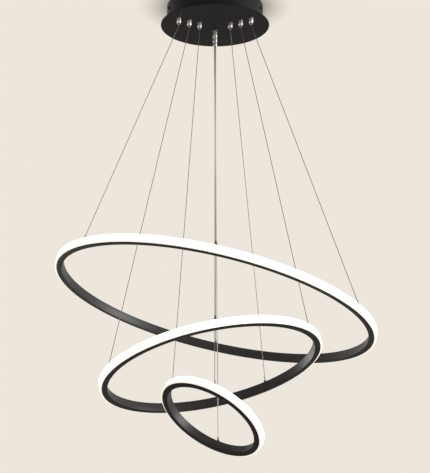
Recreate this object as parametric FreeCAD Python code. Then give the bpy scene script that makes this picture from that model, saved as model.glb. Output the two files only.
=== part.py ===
"""LED ring chandelier: a round canopy, nine cable grippers and three lit rings on steel wires.

Millimetres, +Z up. The origin is the centre of the ceiling face. The viewer stands towards -Y, so
"near" is -Y, "far" is +Y and "right" is +X. An azimuth is counted from the near side towards the right.
Each ring is drawn flat about its own axis and then leaned and hung in its place.
"""
import FreeCAD, Part
import math
import os
from FreeCAD import Vector, Placement, Matrix

# ---- fits and clearances ----
RUN_FIT = 0.05          # radial clearance of a shaft or sleeve in its hole
LOOSE_FIT = 0.1         # radial clearance of a screw, stem or grommet in its hole
SEAT_GAP = 0.05         # between faces that are screwed or soldered together

# ---- canopy: drum, bottom plate, ceiling bracket ----
CANOPY_H = 38.0         # ceiling to the lower face of the bottom plate
DRUM_R = 91.5
DRUM_WALL = 1.5
PLATE_R = 103.0
PLATE_T = 1.5
PLATE_EDGE_R = 0.5
TAB_AZIMUTHS = (75.0, -75.0, 135.0, -135.0)
TAB_W = 12.0
TAB_DEPTH = 10.0
TAB_T = 1.5
STUD_R = 1.5
STUD_L = 6.0
STUD_NUT_AF = 5.5
STUD_NUT_T = 2.4
BAR_W = 24.0
BAR_T = 1.5
BAR_SLOT_SPACING = 70.0
BAR_SLOT_L = 14.0
BAR_SLOT_R = 2.25
MAINS_HOLE_R = 8.0
BAR_HEAD_DEPTH = 14.0   # of the curved heads at the bar's two ends
EAR_AZIMUTHS = (71.0, -71.0, 109.0, -109.0)
EAR_W = 16.0
EAR_DROP = 21.0
EAR_GAP = 0.3           # ear's corners to the drum's inner wall
SIDE_SCREW_R = 2.0
SIDE_SCREW_L = 8.0
SIDE_SCREW_Z = 14.0     # below the ceiling
SIDE_HEAD_R = 3.5
SIDE_HEAD_T = 2.2

# ---- cable grippers and their release sleeves ----
ROW_AZIMUTHS = {"left": -60.0, "right": 60.0, "far": 180.0}
GRIP_INNER_RADIUS = 33.5
GRIP_WALL_GAP = 12.0    # outer grippers' axes to the drum's inner wall
BARREL_R = 4.2
BARREL_L = 10.0
BARREL_CHAMFER = 0.5
BARREL_GROOVE = 0.35
BARREL_GROOVE_W = 0.5
BARREL_GROOVE_DROP = 3.0    # below the plate
STEM_R = 3.0
STEM_L = 8.5            # above the plate's upper face
GRIP_NUT_AF = 10.0
GRIP_NUT_T = 3.0
GUIDE_R = 1.0           # bore that guides a wire or cord
SLEEVE_R = 2.0
SLEEVE_INSIDE = 4.8     # length of sleeve inside the barrel at rest
SLEEVE_OUT = 3.5        # length of sleeve below the barrel at rest
SLEEVE_RIM_R = 2.5
SLEEVE_RIM_T = 1.0
SLEEVE_RIM_CHAMFER = 0.4
SLEEVE_TRAVEL = 2.0
SLEEVE_STOP_GAP = 0.4

# ---- suspension wires and power cords ----
WIRE_R = 0.6
CORD_R = 0.8
NOSE_GAP = 1.5          # mouth of a sleeve or grommet to the point where its line turns
NOSE_BEND_R = 4.0
TAIL_Z = -14.0          # height at which the spare wire lies in the drum
TAIL_BEND_R = 10.0
TAIL_RUN = 45.0
OUTLET_Y = 20.0
OUTLET_SPACING = 3.0
OUTLET_NECK_R = 5.0
OUTLET_FLANGE_R = 6.5
OUTLET_FLANGE_T = 1.5

# ---- driver, terminal block and leads inside the drum ----
DRIVER = (84.0, 34.0, 16.0)
DRIVER_WALL_GAP = 3.6   # its near side to the drum's wall, at its corners
DRIVER_WALL = 1.2
DRIVER_LID_T = 2.0
BOARD_T = 1.6
BOARD_STANDOFF = 2.0
BOARD_MARGIN = 1.5
BLOCK = (30.0, 16.0, 12.0)
BLOCK_AZIMUTH = -138.4
BLOCK_WALL_GAP = 29.8   # its centre to the drum's wall
BLOCK_PITCH = 10.0
BLOCK_HOLE_R = 1.5
BLOCK_HOLE_DEPTH = 5.0
BLOCK_HOLE_HEIGHT = 7.8
BLOCK_SCREW_DEPTH = 2.0
LEAD_R = 0.9
PORT_DEPTH = 0.8        # how far a cord or lead goes into the driver's wall
PORT_HEIGHT = 9.6       # ports above the driver's foot
PORT_RUN = 20.0         # straight stretch of cord in front of a port

# ---- ring section: channel, diffuser, LED strip ----
RING_H = 16.0
CHANNEL_W = 10.0
WEB_T = 1.6
LIP_T = 1.3
HOOK_H = 0.8
HOOK_W = 0.9
SEAM_GAP = 0.3
SEAM_AZIMUTH = 100.0
DIFFUSER_PROUD = 3.5    # how far the diffuser stands out of the channel
DIFFUSER_SHY = 0.9      # how far its crown stops short of the channel's faces
DIFFUSER_ROUND = 1.8
DIFFUSER_BARB = 1.1
STRIP_T = 0.4
STRIP_BED = 0.1         # adhesive between the strip and the web
STRIP_H = 10.0
CHIP = (0.8, 3.5, 2.8)  # radial, tangential, along the ring's axis
CHIP_SPACING = 25.0
SPLICE_L = 40.0
SPLICE_W = 5.0
SPLICE_T = 1.2
SPLICE_CLEAR = 0.8      # splice plate to the channel's web

# ---- ball sockets, crimp sleeves and cord glands on the rings ----
BALL_R = 1.5
BALL_FIT = 0.1
SOCKET_R = 2.5
SOCKET_FLOOR = 0.6
MOUTH_R = 1.1
SOCKET_STEM_R = 1.2
SOCKET_NUT_R = 2.2
SOCKET_NUT_T = 1.6
STEM_PAST_NUT = 0.4
CRIMP_R = 0.95
CRIMP_L = 8.0
GLAND_R = 2.8
GLAND_FLOOR = 1.6
NIPPLE_R = 1.5
NIPPLE_L = 7.0
GLAND_BORE_FROM = 2.0   # start of the nipple's bore, from the dome's centre
GLAND_STEM_R = 1.5
GLAND_STEM_L = 3.0

# ---- the three rings: outer radius, centre of the lower face, lean to the side and to the back ----
# wires: gripper row, place in the row, azimuth on the ring; cord: where it leaves the canopy, azimuth
RINGS = {
    "big": {
        "radius": 300.0, "centre": (-2.5, 32.8, -576.7), "lean_side": 13.3, "lean_back": 6.8,
        "wires": [("left", "outer", -53.0), ("right", "outer", 59.5), ("far", "outer", 180.0)],
        "cord": ("outlet_left", 0.0),
    },
    "middle": {
        "radius": 200.0, "centre": (-5.2, -24.6, -700.4), "lean_side": -12.0, "lean_back": 12.7,
        "wires": [("left", "middle", -67.0), ("right", "middle", 65.5), ("right", "inner", 146.5)],
        "cord": ("outlet_right", 2.8),
    },
    "small": {
        "radius": 100.0, "centre": (-8.9, -8.4, -785.2), "lean_side": 30.5, "lean_back": 26.1,
        "wires": [("left", "inner", -68.0), ("far", "inner", 0.0)],
        "cord": ("far_middle", 175.5),
    },
}

# ---- heights and places that follow from the sizes above ----
PLATE_LOW = -CANOPY_H
PLATE_TOP = PLATE_LOW + PLATE_T
BARREL_LOW = PLATE_LOW - BARREL_L
STEM_TOP = PLATE_TOP + STEM_L
SLEEVE_LOW = BARREL_LOW - SLEEVE_OUT
SLEEVE_TOP = BARREL_LOW + SLEEVE_INSIDE
GRIP_TURN_Z = SLEEVE_LOW - NOSE_GAP
OUTLET_TURN_Z = PLATE_LOW - OUTLET_FLANGE_T - NOSE_GAP
DRUM_IN_R = DRUM_R - DRUM_WALL
DRIVER_NEAR_Y = DRIVER_WALL_GAP - math.sqrt(DRUM_IN_R ** 2 - (DRIVER[0] / 2) ** 2)
DRIVER_FAR_Y = DRIVER_NEAR_Y + DRIVER[1]
PORT_Z = PLATE_TOP + PORT_HEIGHT
GRIP_OUTER_RADIUS = DRUM_IN_R - GRIP_WALL_GAP
ROW_RADII = {"inner": GRIP_INNER_RADIUS, "middle": (GRIP_INNER_RADIUS + GRIP_OUTER_RADIUS) / 2,
             "outer": GRIP_OUTER_RADIUS}
BALL_H = SOCKET_FLOOR + BALL_FIT + BALL_R
UP = Vector(0, 0, 1)

# ---- free shapes inside the drum, chosen by hand ----
TAIL_HEADINGS = {       # direction in which each gripper's spare wire lies, degrees from +X
    ("left", "inner"): 90.0, ("left", "middle"): 90.0, ("left", "outer"): 90.0,
    ("right", "inner"): 90.0, ("right", "middle"): 90.0, ("right", "outer"): 90.0,
    ("far", "inner"): 163.0, ("far", "outer"): 206.0,
}
CORD_PORT_X = {"big": -6.0, "middle": 6.0, "small": 14.0}
CORD_HIGH_Z = -8.0      # the small ring's cord crosses over the spare wires
SMALL_CORD_ROUTE = [(14.0, 34.0, CORD_HIGH_Z), (16.0, -6.0, -12.0), (14.0, -24.0, PORT_Z)]
LEAD_ROUTES = [
    [(-44.0, 16.0, -22.0), (-40.0, -18.0, -22.0), (-38.0, -32.0, PORT_Z)],
    [(-36.0, 14.0, -22.0), (-35.5, -18.0, -22.0), (-34.0, -31.0, PORT_Z)],
]
LEAD_PORT_X = (-38.0, -34.0)
BOARD_PARTS = [         # x, y from the board's centre, then width, depth, height
    (-28.0, 3.0, 14.0, 12.0, 9.0),
    (-8.0, -2.0, 18.0, 16.0, 10.0),
    (12.0, 5.0, 8.0, 8.0, 9.5),
    (27.0, -3.0, 12.0, 10.0, 7.0),
]


# ---------------------------------------------------------------- helpers
def polar(radius, azimuth, z=0.0):
    """Point at an azimuth counted from the near side (-Y) towards +X."""
    a = math.radians(azimuth)
    return Vector(radius * math.sin(a), -radius * math.cos(a), z)


def cylinder(radius, low, high, at=(0.0, 0.0)):
    return Part.makeCylinder(radius, high - low, Vector(at[0], at[1], low), UP)


def tube(outer, inner, low, high, at=(0.0, 0.0)):
    return cylinder(outer, low, high, at).cut(cylinder(inner, low - 1, high + 1, at))


def rod(radius, start, end):
    """Cylinder between two points."""
    axis = end - start
    return Part.makeCylinder(radius, axis.Length, start, axis)


def block(size, low):
    return Part.makeBox(size[0], size[1], size[2], Vector(*low))


def hexagon(across_flats, low, high, at):
    """Upright hexagonal prism."""
    corner_r = across_flats / 2 / math.cos(math.pi / 6)
    corners = [Vector(at[0] + corner_r * math.cos(k * math.pi / 3),
                      at[1] + corner_r * math.sin(k * math.pi / 3), low) for k in range(7)]
    return Part.Face(Part.makePolygon(corners)).extrude(Vector(0, 0, high - low))


def joined(shapes):
    """One solid out of overlapping or touching ones."""
    whole = shapes[0].fuse(shapes[1:]).removeSplitter()
    return whole.Solids[0] if len(whole.Solids) == 1 else whole


def route_edges(points, radii):
    """Straight runs joined by tangent arcs; radii has one value for each inner point."""
    edges = []
    start = points[0]
    for k in range(1, len(points) - 1):
        back = (points[k - 1] - points[k]).normalize()
        ahead = (points[k + 1] - points[k]).normalize()
        turn = math.pi - back.getAngle(ahead)
        reach = radii[k - 1] * math.tan(turn / 2)
        first = points[k] + back * reach
        last = points[k] + ahead * reach
        inward = (back + ahead).normalize()
        hub = points[k] + inward * (radii[k - 1] / math.cos(turn / 2))
        middle = hub - inward * radii[k - 1]
        edges.append(Part.LineSegment(start, first).toShape())
        edges.append(Part.Arc(first, middle, last).toShape())
        start = last
    edges.append(Part.LineSegment(start, points[-1]).toShape())
    return edges


def line_tube(name, points, radii, radius):
    """Wire or cord of round section along a route; prints its length and arc radii."""
    spine = Part.Wire(route_edges(points, radii))
    ring = Part.Wire(Part.makeCircle(radius, points[0], points[1] - points[0]))
    solid = spine.makePipeShell([ring], True, False)
    if solid.Volume < 0:
        solid.reverse()
    share = solid.Volume / (math.pi * radius ** 2 * spine.Length)
    print("%s: length %.1f, arcs %s, volume share %.4f"
          % (name, spine.Length, [round(r, 1) for r in radii], share))
    return solid


def gentle_radius(points, k):
    """As large an arc as the two runs beside a route's inner point allow."""
    back = points[k - 1] - points[k]
    ahead = points[k + 1] - points[k]
    turn = math.pi - back.getAngle(ahead)
    return 0.45 * min(back.Length, ahead.Length) / math.tan(turn / 2)


# ---------------------------------------------------------------- canopy
def grip_point(row, place):
    spot = polar(ROW_RADII[place], ROW_AZIMUTHS[row])
    return spot.x, spot.y


def grip_points():
    return {(row, place): grip_point(row, place) for row in ROW_AZIMUTHS for place in ROW_RADII}


def turned_about_z(shape, azimuth):
    """Turn a shape drawn at the near side round to an azimuth."""
    turned = shape.copy()
    turned.rotate(Vector(0, 0, 0), UP, azimuth)
    return turned


def tab_middle():
    return DRUM_IN_R - TAB_DEPTH / 2


def canopy_drum():
    wall = tube(DRUM_R, DRUM_IN_R, PLATE_TOP, 0.0)
    for azimuth in TAB_AZIMUTHS:
        tab = block((TAB_W, TAB_DEPTH + DRUM_WALL / 2, TAB_T),
                    (-TAB_W / 2, -DRUM_IN_R - DRUM_WALL / 2, PLATE_TOP))
        tab = tab.cut(cylinder(STUD_R + LOOSE_FIT, PLATE_TOP - 1, 0.0, (0.0, -tab_middle())))
        wall = wall.fuse(turned_about_z(tab, azimuth))
    for azimuth in EAR_AZIMUTHS:
        wall = wall.cut(rod(SIDE_SCREW_R + LOOSE_FIT, polar(DRUM_IN_R - DRUM_WALL, azimuth, -SIDE_SCREW_Z),
                            polar(DRUM_R + DRUM_WALL, azimuth, -SIDE_SCREW_Z)))
    return wall.removeSplitter()


def canopy_plate():
    plate = cylinder(PLATE_R, PLATE_LOW, PLATE_TOP)
    rim = [e for e in plate.Edges if abs(e.Length - 2 * math.pi * PLATE_R) < 1]
    plate = plate.makeFillet(PLATE_EDGE_R, rim)
    for spot in grip_points().values():
        plate = plate.cut(cylinder(STEM_R + LOOSE_FIT, PLATE_LOW - 1, PLATE_TOP + 1, spot))
    plate = plate.cut(cylinder(OUTLET_NECK_R + LOOSE_FIT, PLATE_LOW - 1, PLATE_TOP + 1, (0.0, OUTLET_Y)))
    return plate


def plate_fasteners():
    """Studs welded to the plate, up through the drum's tabs, and their nuts."""
    spot = (0.0, -tab_middle())
    stud = cylinder(STUD_R, PLATE_TOP, PLATE_TOP + STUD_L, spot)
    low = PLATE_TOP + TAB_T
    nut = hexagon(STUD_NUT_AF, low, low + STUD_NUT_T, spot)
    nut = nut.cut(cylinder(STUD_R + RUN_FIT, low - 1, low + STUD_NUT_T + 1, spot))
    return Part.makeCompound([turned_about_z(piece, azimuth) for azimuth in TAB_AZIMUTHS for piece in (stud, nut)])


def ear_reach():
    """Axis of the drum to a bracket ear's outer face, whose corners stay just inside the round wall."""
    return math.sqrt(DRUM_IN_R ** 2 - (EAR_W / 2) ** 2) - EAR_GAP


def slot_hole(x, low, high):
    half = BAR_SLOT_L / 2 - BAR_SLOT_R
    ends = [cylinder(BAR_SLOT_R, low, high, (x + side * half, 0.0)) for side in (-1, 1)]
    middle = block((2 * half, 2 * BAR_SLOT_R, high - low), (x - half, -BAR_SLOT_R, low))
    return middle.fuse(ends)


def ceiling_bracket():
    """Flat bar with a curved head at each end; each head has two ears, bent down for the side screws."""
    reach = ear_reach()
    rim = reach - BAR_T / 2
    corner = max(abs((polar(reach, azimuth) + polar(side * EAR_W / 2, azimuth + 90.0)).y)
                 for azimuth in EAR_AZIMUTHS for side in (-1, 1))
    heads = tube(rim, rim - BAR_HEAD_DEPTH, -BAR_T, 0.0)
    bracket = heads.common(block((2 * rim, 2 * corner, BAR_T), (-rim, -corner, -BAR_T)))
    length = 2 * rim - BAR_HEAD_DEPTH
    bracket = bracket.fuse(block((length, BAR_W, BAR_T), (-length / 2, -BAR_W / 2, -BAR_T)))
    ear = block((EAR_W, BAR_T, EAR_DROP), (-EAR_W / 2, -reach, -EAR_DROP))
    ear = ear.cut(rod(SIDE_SCREW_R + RUN_FIT, Vector(0, -reach - BAR_T, -SIDE_SCREW_Z),
                      Vector(0, -reach + 2 * BAR_T, -SIDE_SCREW_Z)))
    for azimuth in EAR_AZIMUTHS:
        bracket = bracket.fuse(turned_about_z(ear, azimuth))
    for side in (-1, 1):
        bracket = bracket.cut(slot_hole(side * BAR_SLOT_SPACING / 2, -BAR_T - 1, 1))
    bracket = bracket.cut(cylinder(MAINS_HOLE_R, -BAR_T - 1, 1))
    return bracket.removeSplitter()


def side_screws():
    """Screws through the drum's wall into the bracket's ears."""
    seat = Vector(0, -DRUM_R - SEAT_GAP, -SIDE_SCREW_Z)
    head = rod(SIDE_HEAD_R, seat, seat - Vector(0, SIDE_HEAD_T, 0))
    shank = rod(SIDE_SCREW_R, seat + Vector(0, SIDE_SCREW_L, 0), seat - Vector(0, SIDE_HEAD_T / 2, 0))
    screw = joined([head, shank])
    return Part.makeCompound([turned_about_z(screw, azimuth) for azimuth in EAR_AZIMUTHS])


def gripper_barrel(spot):
    barrel = cylinder(BARREL_R, BARREL_LOW, PLATE_LOW, spot)
    foot = [e for e in barrel.Edges if abs(e.CenterOfMass.z - BARREL_LOW) < 1e-6 and e.Closed]
    barrel = barrel.makeChamfer(BARREL_CHAMFER, foot)
    groove_z = PLATE_LOW - BARREL_GROOVE_DROP
    groove = tube(BARREL_R + 1, BARREL_R - BARREL_GROOVE, groove_z - BARREL_GROOVE_W, groove_z, spot)
    barrel = barrel.cut(groove).fuse(cylinder(STEM_R, PLATE_LOW - 1, STEM_TOP, spot))
    pocket_top = SLEEVE_TOP + SLEEVE_TRAVEL + SLEEVE_STOP_GAP
    pocket = cylinder(SLEEVE_R + RUN_FIT, BARREL_LOW - 1, pocket_top, spot)
    guide = cylinder(GUIDE_R, pocket_top - 1, STEM_TOP + 1, spot)
    return barrel.cut([pocket, guide]).removeSplitter()


def gripper_nut(spot):
    nut = hexagon(GRIP_NUT_AF, PLATE_TOP, PLATE_TOP + GRIP_NUT_T, spot)
    return nut.cut(cylinder(STEM_R + RUN_FIT, PLATE_TOP - 1, PLATE_TOP + GRIP_NUT_T + 1, spot))


def release_sleeve(spot):
    sleeve = cylinder(SLEEVE_R, SLEEVE_LOW, SLEEVE_TOP, spot)
    rim = cylinder(SLEEVE_RIM_R, SLEEVE_LOW, SLEEVE_LOW + SLEEVE_RIM_T, spot)
    lower_edge = [e for e in rim.Edges if abs(e.CenterOfMass.z - SLEEVE_LOW) < 1e-6 and e.Closed]
    rim = rim.makeChamfer(SLEEVE_RIM_CHAMFER, lower_edge)
    return joined([sleeve, rim]).cut(cylinder(GUIDE_R, SLEEVE_LOW - 1, SLEEVE_TOP + 1, spot))


def cord_outlet():
    spot = (0.0, OUTLET_Y)
    lower = cylinder(OUTLET_FLANGE_R, PLATE_LOW - OUTLET_FLANGE_T, PLATE_LOW, spot)
    neck = cylinder(OUTLET_NECK_R, PLATE_LOW - OUTLET_FLANGE_T, PLATE_TOP + OUTLET_FLANGE_T, spot)
    upper = cylinder(OUTLET_FLANGE_R, PLATE_TOP, PLATE_TOP + OUTLET_FLANGE_T, spot)
    holes = [cylinder(CORD_R + RUN_FIT, PLATE_LOW - 5, PLATE_TOP + 5, (side * OUTLET_SPACING / 2, OUTLET_Y))
             for side in (-1, 1)]
    return joined([lower, neck, upper]).cut(holes)


# ---------------------------------------------------------------- driver and terminal block
def driver_low():
    return -DRIVER[0] / 2, DRIVER_NEAR_Y, PLATE_TOP


def port_holes():
    """Holes in the driver's far wall, where the power cords and the mains leads go in."""
    far = DRIVER_FAR_Y
    cords = [rod(CORD_R + RUN_FIT, Vector(x, far - PORT_DEPTH, PORT_Z), Vector(x, far + 1, PORT_Z))
             for x in CORD_PORT_X.values()]
    leads = [rod(LEAD_R + RUN_FIT, Vector(x, far - PORT_DEPTH, PORT_Z), Vector(x, far + 1, PORT_Z))
             for x in LEAD_PORT_X]
    return cords + leads


def driver_case():
    x, y, z = driver_low()
    inside = (DRIVER[0] - 2 * DRIVER_WALL, DRIVER[1] - 2 * DRIVER_WALL, DRIVER[2])
    case = block(DRIVER, (x, y, z)).cut(block(inside, (x + DRIVER_WALL, y + DRIVER_WALL, z + DRIVER_WALL)))
    for side_x in (x + 2 * DRIVER_WALL + 1, -x - 2 * DRIVER_WALL - 1):
        for side_y in (y + 2 * DRIVER_WALL + 1, y + DRIVER[1] - 2 * DRIVER_WALL - 1):
            case = case.fuse(cylinder(2.0, z + DRIVER_WALL, z + DRIVER_WALL + BOARD_STANDOFF, (side_x, side_y)))
    return case.cut(port_holes()).removeSplitter()


def driver_cover():
    x, y, z = driver_low()
    lid_low = z + DRIVER[2]
    lid = block((DRIVER[0], DRIVER[1], DRIVER_LID_T), (x, y, lid_low))
    inset = DRIVER_WALL + LOOSE_FIT
    plug = block((DRIVER[0] - 2 * inset, DRIVER[1] - 2 * inset, DRIVER_WALL),
                 (x + inset, y + inset, lid_low - DRIVER_WALL))
    return joined([lid, plug])


def driver_board():
    x, y, z = driver_low()
    width = DRIVER[0] - 2 * DRIVER_WALL - 2 * BOARD_MARGIN
    depth = DRIVER[1] - 2 * DRIVER_WALL - 2 * BOARD_MARGIN
    low = z + DRIVER_WALL + BOARD_STANDOFF
    middle_y = y + DRIVER[1] / 2
    pieces = [block((width, depth, BOARD_T), (-width / 2, middle_y - depth / 2, low))]
    for px, py, w, d, h in BOARD_PARTS:
        pieces.append(block((w, d, h + 0.5), (px - w / 2, middle_y + py - d / 2, low + BOARD_T - 0.5)))
    return joined(pieces)


def block_centre():
    spot = polar(DRUM_IN_R - BLOCK_WALL_GAP, BLOCK_AZIMUTH)
    return spot.x, spot.y


def block_hole_x():
    return [block_centre()[0] + step * BLOCK_PITCH / 2 for step in (-1, 1)]


def block_hole_z():
    return PLATE_TOP + BLOCK_HOLE_HEIGHT


def terminal_block():
    cx, cy = block_centre()
    body = block(BLOCK, (cx - BLOCK[0] / 2, cy - BLOCK[1] / 2, PLATE_TOP))
    for x in block_hole_x():
        for side in (-1, 1):
            mouth = Vector(x, cy + side * BLOCK[1] / 2, block_hole_z())
            body = body.cut(rod(BLOCK_HOLE_R, mouth - Vector(0, side * BLOCK_HOLE_DEPTH, 0),
                                mouth + Vector(0, side, 0)))
            body = body.cut(cylinder(BLOCK_HOLE_R, PLATE_TOP + BLOCK[2] - BLOCK_SCREW_DEPTH,
                                     PLATE_TOP + BLOCK[2] + 1, (x, cy + side * BLOCK[1] / 4)))
    return body


def mains_leads():
    """Two leads from the terminal block to the driver."""
    leads = []
    for x, port_x, route in zip(block_hole_x(), LEAD_PORT_X, LEAD_ROUTES):
        mouth_y = block_centre()[1] - BLOCK[1] / 2
        start = Vector(x, mouth_y + BLOCK_HOLE_DEPTH, block_hole_z())
        leave = Vector(x, mouth_y - BLOCK_HOLE_DEPTH, block_hole_z())
        end = Vector(port_x, DRIVER_FAR_Y - PORT_DEPTH, PORT_Z)
        points = [start, leave] + [Vector(*p) for p in route] + [end]
        radii = [gentle_radius(points, k) for k in range(1, len(points) - 1)]
        leads.append(line_tube("mains lead", points, radii, LEAD_R))
    return Part.makeCompound(leads)


# ---------------------------------------------------------------- ring frames
def ring_placement(ring):
    """Places a ring drawn about +Z: its axis leans to the side (X) and to the back (Y)."""
    axis = Vector(math.tan(math.radians(ring["lean_side"])), math.tan(math.radians(ring["lean_back"])), 1)
    axis.normalize()
    across = Vector(1, 0, 0) - axis * axis.x
    across.normalize()
    along = axis.cross(across)
    c = Vector(*ring["centre"])
    return Placement(Matrix(across.x, along.x, axis.x, c.x,
                            across.y, along.y, axis.y, c.y,
                            across.z, along.z, axis.z, c.z,
                            0, 0, 0, 1))


def inner_radius(ring):
    return ring["radius"] - DIFFUSER_PROUD - CHANNEL_W


def lip_middle(ring):
    return inner_radius(ring) + CHANNEL_W / 2


def swept(section, gap, radius):
    """Revolve a section of edges in the XZ plane nearly once round, leaving a joint at the seam."""
    face = Part.Face(Part.Wire(section))
    gap_deg = math.degrees(gap / radius)
    body = face.revolve(Vector(0, 0, 0), UP, 360.0 - gap_deg)
    body.rotate(Vector(0, 0, 0), UP, SEAM_AZIMUTH - 90.0 + gap_deg / 2)
    return Part.Solid(body.Shells[0]) if not body.Solids else body.Solids[0]


def outline(radius, corners):
    """Closed polygon; each corner is a distance out from a radius and a height."""
    points = [Vector(radius + out, 0, height) for out, height in corners]
    return [Part.LineSegment(a, b).toShape() for a, b in zip(points, points[1:] + points[:1])]


def channel(ring):
    r, w, h = inner_radius(ring), CHANNEL_W, RING_H
    corners = [(0, 0), (w, 0), (w, LIP_T + HOOK_H), (w - HOOK_W, LIP_T + HOOK_H), (w - HOOK_W, LIP_T),
               (WEB_T, LIP_T), (WEB_T, h - LIP_T), (w - HOOK_W, h - LIP_T),
               (w - HOOK_W, h - LIP_T - HOOK_H), (w, h - LIP_T - HOOK_H), (w, h), (0, h)]
    body = swept(outline(r, corners), SEAM_GAP, r)
    holes = []
    for row, place, azimuth in ring["wires"]:
        spot = polar(lip_middle(ring), azimuth)
        holes.append(cylinder(SOCKET_STEM_R + LOOSE_FIT, h - LIP_T - 1, h + 1, (spot.x, spot.y)))
    spot = polar(lip_middle(ring), ring["cord"][1])
    holes.append(cylinder(GLAND_STEM_R + LOOSE_FIT, h - LIP_T - 1, h + 1, (spot.x, spot.y)))
    return body.cut(holes)


def diffuser(ring):
    """Silicone band: a barb behind the channel's hooks, a neck between them and a rounded crown."""
    r, w = inner_radius(ring), CHANNEL_W
    low, high = DIFFUSER_SHY, RING_H - DIFFUSER_SHY
    neck_low = LIP_T + HOOK_H + LOOSE_FIT
    neck_high = RING_H - neck_low
    barb_low = LIP_T + LOOSE_FIT
    barb_high = RING_H - barb_low
    barb_out = w - HOOK_W - LOOSE_FIT
    crown_in = w + LOOSE_FIT
    top = w + DIFFUSER_PROUD
    q = DIFFUSER_ROUND
    sharp = q * (1 - math.sqrt(0.5))

    def at(out, height):
        return Vector(r + out, 0, height)

    path = [at(barb_out - DIFFUSER_BARB, barb_high), at(barb_out - DIFFUSER_BARB, barb_low), at(barb_out, barb_low),
            at(barb_out, neck_low), at(crown_in, neck_low), at(crown_in, low), at(top - q, low)]
    edges = [Part.LineSegment(a, b).toShape() for a, b in zip(path, path[1:])]
    edges.append(Part.Arc(at(top - q, low), at(top - sharp, low + sharp), at(top, low + q)).toShape())
    edges.append(Part.LineSegment(at(top, low + q), at(top, high - q)).toShape())
    edges.append(Part.Arc(at(top, high - q), at(top - sharp, high - sharp), at(top - q, high)).toShape())
    path = [at(top - q, high), at(crown_in, high), at(crown_in, neck_high), at(barb_out, neck_high),
            at(barb_out, barb_high), at(barb_out - DIFFUSER_BARB, barb_high)]
    edges += [Part.LineSegment(a, b).toShape() for a, b in zip(path, path[1:])]
    return swept(edges, SEAM_GAP, r)


def led_strip(ring):
    low = (RING_H - STRIP_H) / 2
    back = WEB_T + STRIP_BED
    corners = [(back, low), (back + STRIP_T, low), (back + STRIP_T, low + STRIP_H), (back, low + STRIP_H)]
    return swept(outline(inner_radius(ring), corners), 10 * SEAM_GAP, inner_radius(ring))


def led_chips(ring):
    """Evenly spaced chips on the strip; none sits on the seam."""
    face_r = inner_radius(ring) + WEB_T + STRIP_BED + STRIP_T + SEAT_GAP
    count = int(2 * math.pi * face_r / CHIP_SPACING)
    chips = []
    for k in range(count):
        chip = block((CHIP[1], CHIP[0], CHIP[2]), (-CHIP[1] / 2, -face_r - CHIP[0], (RING_H - CHIP[2]) / 2))
        chips.append(turned_about_z(chip, SEAM_AZIMUTH + 360.0 * (k + 0.5) / count))
    return Part.makeCompound(chips)


def splice_plate(ring):
    """Curved plate under the upper lip that bridges the channel's butt joint."""
    inner = inner_radius(ring) + WEB_T + SPLICE_CLEAR
    high = RING_H - LIP_T - SEAT_GAP
    corners = [(0, high - SPLICE_T), (SPLICE_W, high - SPLICE_T), (SPLICE_W, high), (0, high)]
    sweep = math.degrees(SPLICE_L / inner)
    plate = Part.Face(Part.Wire(outline(inner, corners))).revolve(Vector(0, 0, 0), UP, sweep)
    plate.rotate(Vector(0, 0, 0), UP, SEAM_AZIMUTH - 90.0 - sweep / 2)
    return plate


# ---------------------------------------------------------------- hanging points
def local_spot(ring, azimuth, height):
    spot = polar(lip_middle(ring), azimuth, height)
    return spot


def world_spot(ring, azimuth, height):
    return ring_placement(ring).multVec(local_spot(ring, azimuth, height))


def turn_point(source):
    """Where a wire or cord turns from the canopy's upright bore towards its ring."""
    if source[0].startswith("outlet"):
        side = -1 if source[0] == "outlet_left" else 1
        return Vector(side * OUTLET_SPACING / 2, OUTLET_Y, OUTLET_TURN_Z)
    x, y = grip_point(*source)
    return Vector(x, y, GRIP_TURN_Z)


def cord_source(ring):
    where = ring["cord"][0]
    return ("far", "middle") if where == "far_middle" else (where,)


def local_heading(ring, source, azimuth, height):
    """Unit vector from a hanging point towards its turn point, in the ring's own axes."""
    back = ring_placement(ring).inverse()
    heading = back.multVec(turn_point(source)) - local_spot(ring, azimuth, height)
    return heading.normalize()


def socket(ring, source, azimuth):
    """Ball socket on the upper lip, with a stem through the lip and a mouth towards the wire."""
    hub = local_spot(ring, azimuth, RING_H + BALL_H)
    heading = local_heading(ring, source, azimuth, RING_H + BALL_H)
    spot = (hub.x, hub.y)
    base = cylinder(SOCKET_R, RING_H, RING_H + BALL_H, spot)
    stem_low = RING_H - LIP_T - SOCKET_NUT_T - STEM_PAST_NUT
    stem = cylinder(SOCKET_STEM_R, stem_low, RING_H + SOCKET_FLOOR / 2, spot)
    body = joined([base, Part.makeSphere(SOCKET_R, hub), stem])
    below = tube(SOCKET_R + 1, SOCKET_STEM_R, RING_H - SOCKET_R - 1, RING_H, spot)
    cavity = Part.makeSphere(BALL_R + BALL_FIT, hub)
    mouth = rod(MOUTH_R, hub, hub + heading * (SOCKET_R + 1))
    return body.cut([below, cavity, mouth])


def socket_nut(ring, azimuth):
    spot = local_spot(ring, azimuth, 0)
    high = RING_H - LIP_T
    return tube(SOCKET_NUT_R, SOCKET_STEM_R + RUN_FIT, high - SOCKET_NUT_T, high, (spot.x, spot.y))


def wire_end(ring, source, azimuth):
    """Ball with its crimp sleeve, along the wire."""
    hub = local_spot(ring, azimuth, RING_H + BALL_H)
    heading = local_heading(ring, source, azimuth, RING_H + BALL_H)
    return joined([Part.makeSphere(BALL_R, hub), rod(CRIMP_R, hub, hub + heading * CRIMP_L)])


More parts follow.
